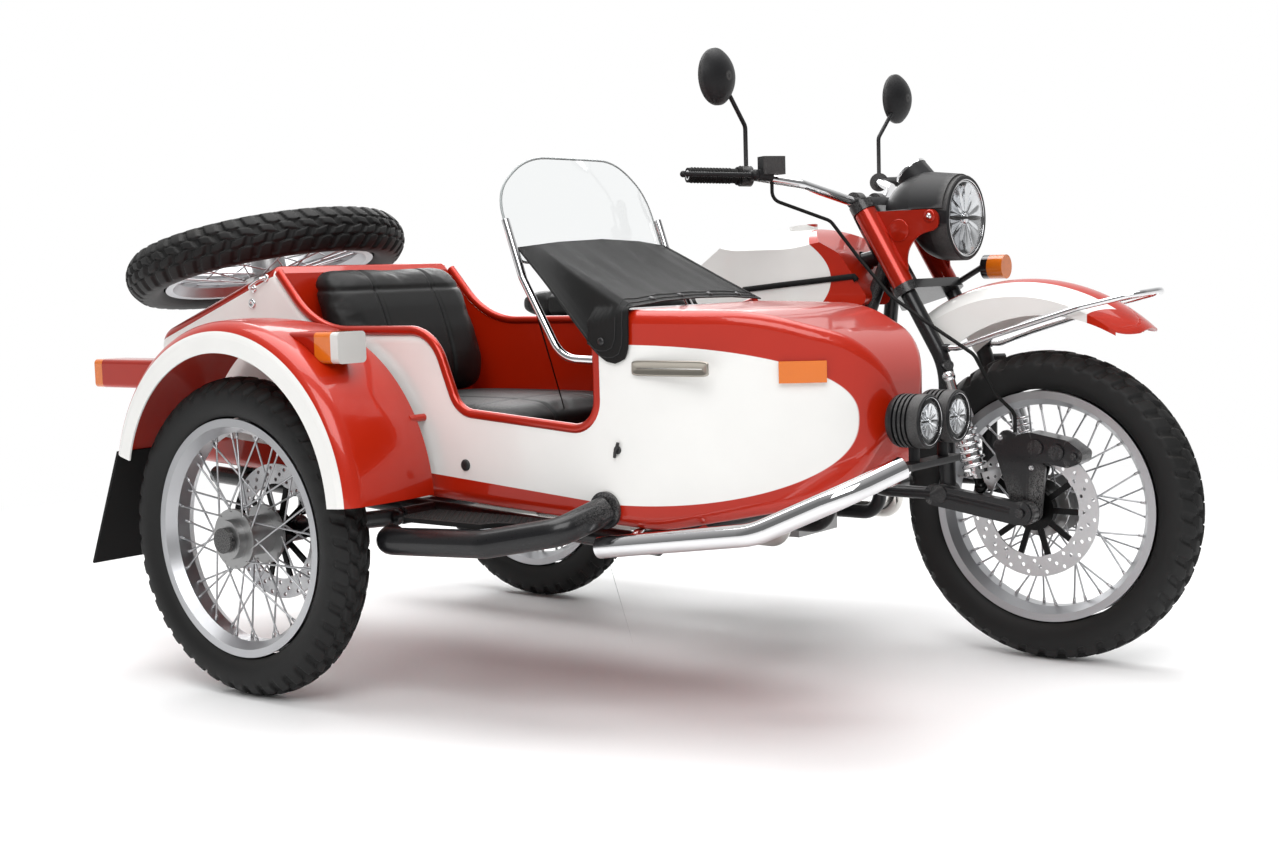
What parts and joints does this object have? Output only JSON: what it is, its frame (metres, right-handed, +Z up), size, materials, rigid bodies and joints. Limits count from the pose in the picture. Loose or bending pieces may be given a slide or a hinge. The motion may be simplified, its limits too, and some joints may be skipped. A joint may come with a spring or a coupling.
{
  "type": "sidecar motorcycle",
  "caption": "Flat-twin motorcycle with leading-link fork and a sidecar on its right: open cockpit with screen and cover, wire wheels, spare wheel on the hinged trunk lid.",
  "frame": {"origin": "on the ground under the middle of the outfit's box", "axes": "+X forward, +Y to the rider's left, +Z up"},
  "size_m": [2.4228, 1.7188, 1.362],
  "materials": {
    "motorcycle_frame": "gloss paint",
    "engine_block": "aluminium",
    "cylinders": "aluminium",
    "intake_pipes": "rubber",
    "exhaust_pipes": "chrome",
    "swing_arm": "gloss paint",
    "rear_shocks": "chrome",
    "fuel_tank": "gloss paint",
    "rider_seat": "vinyl",
    "rear_fender": "gloss paint",
    "tail_lamp": "gloss plastic",
    "foot_controls": "gloss paint",
    "sidecar_frame": "gloss paint",
    "sidecar_swing_arm": "gloss paint",
    "sidecar_shock": "chrome",
    "sidecar_body": "gloss paint",
    "cockpit_rim": "gloss paint",
    "seat_cushion": "vinyl",
    "seat_back": "vinyl",
    "windscreen": "glass",
    "windscreen_stays": "chrome",
    "tonneau_cover": "coated cloth",
    "front_bumper": "chrome",
    "step_tube": "gloss paint",
    "step_pad": "rubber",
    "fog_lamps": "matte plastic",
    "fog_lenses": "glass",
    "sidecar_fender": "gloss paint",
    "mud_flap": "rubber",
    "fender_lamps": "gloss paint",
    "amber_lenses": "gloss plastic",
    "brake_hose": "rubber",
    "trunk_lid": "gloss paint",
    "spare_carrier": "gloss paint",
    "spare_tyre": "tyre",
    "spare_wheel": "aluminium",
    "front_fork": "gloss paint",
    "fork_covers": "gloss paint",
    "leading_link": "gloss paint",
    "front_shocks": "chrome",
    "brake_caliper": "gloss paint",
    "handlebar": "chrome",
    "hand_grips": "rubber",
    "bar_controls": "matte plastic",
    "mirrors": "gloss plastic",
    "headlamp_shell": "gloss paint",
    "headlamp_lens": "glass",
    "instrument_cowl": "matte plastic",
    "turn_signal": "gloss plastic",
    "front_fender": "gloss paint",
    "fender_rail": "chrome",
    "front_tyre": "tyre",
    "front_wheel": "aluminium",
    "front_disc": "brushed steel",
    "rear_tyre": "tyre",
    "rear_wheel": "aluminium",
    "rear_disc": "brushed steel",
    "sidecar_tyre": "tyre",
    "sidecar_wheel": "aluminium",
    "sidecar_disc": "brushed steel"
  },
  "bodies": {
    "chassis": {"motorcycle_frame": "motorcycle_frame", "engine_block": "engine_block", "cylinders": "cylinders", "intake_pipes": "intake_pipes", "exhaust_pipes": "exhaust_pipes", "swing_arm": "swing_arm", "rear_shocks": "rear_shocks", "fuel_tank": "fuel_tank", "rider_seat": "rider_seat", "rear_fender": "rear_fender", "tail_lamp": "tail_lamp", "foot_controls": "foot_controls", "sidecar_frame": "sidecar_frame", "sidecar_swing_arm": "sidecar_swing_arm", "sidecar_shock": "sidecar_shock", "sidecar_body": "sidecar_body", "cockpit_rim": "cockpit_rim", "seat_cushion": "seat_cushion", "seat_back": "seat_back", "windscreen": "windscreen", "windscreen_stays": "windscreen_stays", "tonneau_cover": "tonneau_cover", "front_bumper": "front_bumper", "step_tube": "step_tube", "step_pad": "step_pad", "fog_lamps": "fog_lamps", "fog_lenses": "fog_lenses", "sidecar_fender": "sidecar_fender", "mud_flap": "mud_flap", "fender_lamps": "fender_lamps", "amber_lenses": "amber_lenses"},
    "fork": {"front_fork": "front_fork", "fork_covers": "fork_covers", "leading_link": "leading_link", "front_shocks": "front_shocks", "brake_caliper": "brake_caliper", "brake_hose": "brake_hose", "handlebar": "handlebar", "hand_grips": "hand_grips", "bar_controls": "bar_controls", "mirrors": "mirrors", "headlamp_shell": "headlamp_shell", "headlamp_lens": "headlamp_lens", "instrument_cowl": "instrument_cowl", "turn_signal": "turn_signal", "front_fender": "front_fender", "fender_rail": "fender_rail"},
    "front_wheel_set": {"front_tyre": "front_tyre", "front_wheel": "front_wheel", "front_disc": "front_disc"},
    "rear_wheel_set": {"rear_tyre": "rear_tyre", "rear_wheel": "rear_wheel", "rear_disc": "rear_disc"},
    "sidecar_wheel_set": {"sidecar_tyre": "sidecar_tyre", "sidecar_wheel": "sidecar_wheel", "sidecar_disc": "sidecar_disc"},
    "trunk": {"trunk_lid": "trunk_lid", "spare_carrier": "spare_carrier", "spare_tyre": "spare_tyre", "spare_wheel": "spare_wheel"}
  },
  "joints": [
    {"name": "steering", "type": "hinge", "parent": "chassis", "child": "fork", "pos_m": [0.4254, 0.3965, 0.985], "axis": [-0.5, 0, 0.866], "range_deg": [-33, 33]},
    {"name": "front_wheel_turn", "type": "hinge", "parent": "fork", "child": "front_wheel_set", "pos_m": [0.8694, 0.3965, 0.342], "axis": [0, 1, 0], "continuous": true},
    {"name": "rear_wheel_turn", "type": "hinge", "parent": "chassis", "child": "rear_wheel_set", "pos_m": [-0.6306, 0.3965, 0.342], "axis": [0, 1, 0], "continuous": true},
    {"name": "sidecar_wheel_turn", "type": "hinge", "parent": "chassis", "child": "sidecar_wheel_set", "pos_m": [-0.4256, -0.7735, 0.342], "axis": [0, 1, 0], "continuous": true},
    {"name": "trunk_lid_hinge", "type": "hinge", "parent": "chassis", "child": "trunk", "pos_m": [-0.9626, -0.3085, 0.74524], "axis": [0, -1, 0], "range_deg": [0, 60]}
  ]
}
